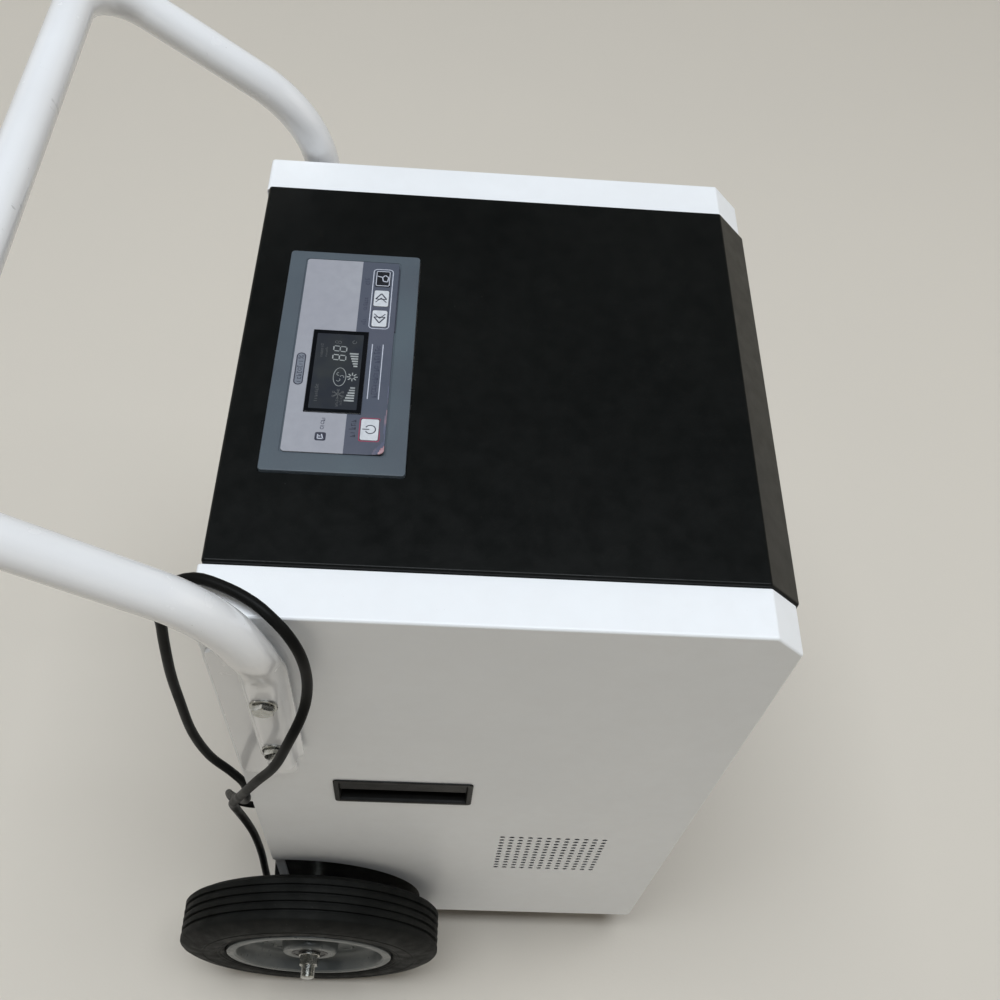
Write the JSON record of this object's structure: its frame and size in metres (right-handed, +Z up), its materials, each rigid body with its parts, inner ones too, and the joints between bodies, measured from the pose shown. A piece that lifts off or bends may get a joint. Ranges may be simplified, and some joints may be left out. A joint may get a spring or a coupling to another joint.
{
  "type": "dehumidifier",
  "caption": "Wheeled commercial dehumidifier: white folded-sheet cabinet with black top, display panel, bent-tube push handle, side grips, rubber-tyred wheels and swivel casters.",
  "frame": {"origin": "on the floor, under the middle of the machine's bounding box, push handle included and mains cord left out", "axes": "+Z up, +Y towards the push handle at the rear, +X the machine's right side; the intake faces -Y"},
  "size_m": [0.684, 0.6025, 1.0534],
  "materials": {
    "white_paint": "satin white powder coat on folded steel sheet",
    "gloss_white": "gloss white enamel",
    "black_paint": "semi-gloss black powder coat",
    "black_plastic": "fine-grained black moulding",
    "filter_mesh": "black woven nylon filter mesh",
    "slate_plastic": "satin slate blue-grey moulding",
    "printed_film": "printed polyester membrane film",
    "dark_key": "printed polyester membrane film, dark",
    "display_glass": "dark glossy display window",
    "circuit_board": "solder mask",
    "zinc": "bright zinc plate",
    "steel": "plain rolled steel",
    "rubber": "ribbed black rubber",
    "grey_paint": "satin grey paint on pressed steel",
    "bearing_seal": "black bearing seal",
    "aluminium_fins": "fin stack",
    "copper": "drawn copper tube",
    "cord_pvc": "glossy black PVC jacket"
  },
  "bodies": {
    "cabinet": {"base_chassis": "black_paint", "left_side_panel": "white_paint", "right_side_panel": "white_paint", "top_cover": "black_paint", "front_panel": "black_plastic", "rear_panel": "white_paint", "outlet_grille": "black_plastic", "control_bezel": "slate_plastic", "control_overlay": "printed_film", "display_window": "display_glass", "display_module": "display_glass", "control_board": "circuit_board", "left_recess_grip": "black_plastic", "right_recess_grip": "black_plastic", "push_handle": "gloss_white", "left_handle_bracket": "gloss_white", "right_handle_bracket": "gloss_white", "left_handle_bolt_upper": "zinc", "left_handle_bolt_lower": "zinc", "right_handle_bolt_upper": "zinc", "right_handle_bolt_lower": "zinc", "axle": "zinc", "left_axle_plate": "black_paint", "right_axle_plate": "black_paint", "left_axle_nut": "zinc", "right_axle_nut": "zinc", "left_caster_plate": "zinc", "right_caster_plate": "zinc", "compressor": "black_paint", "evaporator": "aluminium_fins", "condenser": "aluminium_fins", "drip_tray": "black_plastic", "drain_pipe": "black_plastic", "suction_pipe": "copper", "electrical_box": "black_plastic", "fan_shroud": "steel", "fan_motor": "steel", "cable_gland": "black_plastic", "power_cord": "cord_pvc", "power_cord_coil": "cord_pvc", "power_plug": "cord_pvc"},
    "left_wheel": {"left_tyre": "rubber", "left_wheel_rim": "grey_paint", "left_wheel_bearing": "bearing_seal"},
    "left_caster": {"left_caster_fork": "zinc", "left_caster_pin": "steel"},
    "left_caster_roller": {"left_caster_wheel": "rubber"},
    "right_wheel": {"right_tyre": "rubber", "right_wheel_rim": "grey_paint", "right_wheel_bearing": "bearing_seal"},
    "right_caster": {"right_caster_fork": "zinc", "right_caster_pin": "steel"},
    "right_caster_roller": {"right_caster_wheel": "rubber"},
    "fan": {"fan_wheel": "black_plastic"},
    "filter_cassette": {"filter_grille": "black_plastic", "air_filter": "filter_mesh"},
    "key_power_cap": {"key_power": "printed_film"},
    "key_down_cap": {"key_down": "printed_film"},
    "key_up_cap": {"key_up": "printed_film"},
    "key_timer_cap": {"key_timer": "dark_key"}
  },
  "joints": [
    {"name": "left_wheel_spin", "type": "hinge", "parent": "cabinet", "child": "left_wheel", "pos_m": [-0.2873, 0.10725, 0.1525], "axis": [1, 0, 0], "continuous": true},
    {"name": "left_caster_swivel", "type": "hinge", "parent": "cabinet", "child": "left_caster", "pos_m": [-0.18, -0.23875, 0.0615], "axis": [0, 0, 1], "continuous": true},
    {"name": "left_caster_roll", "type": "hinge", "parent": "left_caster", "child": "left_caster_roller", "pos_m": [-0.18, -0.21875, 0.0245], "axis": [1, 0, 0], "continuous": true},
    {"name": "right_wheel_spin", "type": "hinge", "parent": "cabinet", "child": "right_wheel", "pos_m": [0.2873, 0.10725, 0.1525], "axis": [1, 0, 0], "continuous": true},
    {"name": "right_caster_swivel", "type": "hinge", "parent": "cabinet", "child": "right_caster", "pos_m": [0.18, -0.23875, 0.0615], "axis": [0, 0, 1], "continuous": true},
    {"name": "right_caster_roll", "type": "hinge", "parent": "right_caster", "child": "right_caster_roller", "pos_m": [0.18, -0.21875, 0.0245], "axis": [1, 0, 0], "continuous": true},
    {"name": "fan_spin", "type": "hinge", "parent": "cabinet", "child": "fan", "pos_m": [0, 0.02525, 0.6], "axis": [0, 1, 0], "continuous": true},
    {"name": "filter_pull", "type": "slide", "parent": "cabinet", "child": "filter_cassette", "axis": [0, -1, 0], "range_m": [0, 0.06]},
    {"name": "key_power_press", "type": "slide", "parent": "cabinet", "child": "key_power_cap", "axis": [0, 0, -1], "range_m": [0, 0.0006], "stiffness_N_per_m": 800},
    {"name": "key_down_press", "type": "slide", "parent": "cabinet", "child": "key_down_cap", "axis": [0, 0, -1], "range_m": [0, 0.0006], "stiffness_N_per_m": 800},
    {"name": "key_up_press", "type": "slide", "parent": "cabinet", "child": "key_up_cap", "axis": [0, 0, -1], "range_m": [0, 0.0006], "stiffness_N_per_m": 800},
    {"name": "key_timer_press", "type": "slide", "parent": "cabinet", "child": "key_timer_cap", "axis": [0, 0, -1], "range_m": [0, 0.0006], "stiffness_N_per_m": 800}
  ]
}
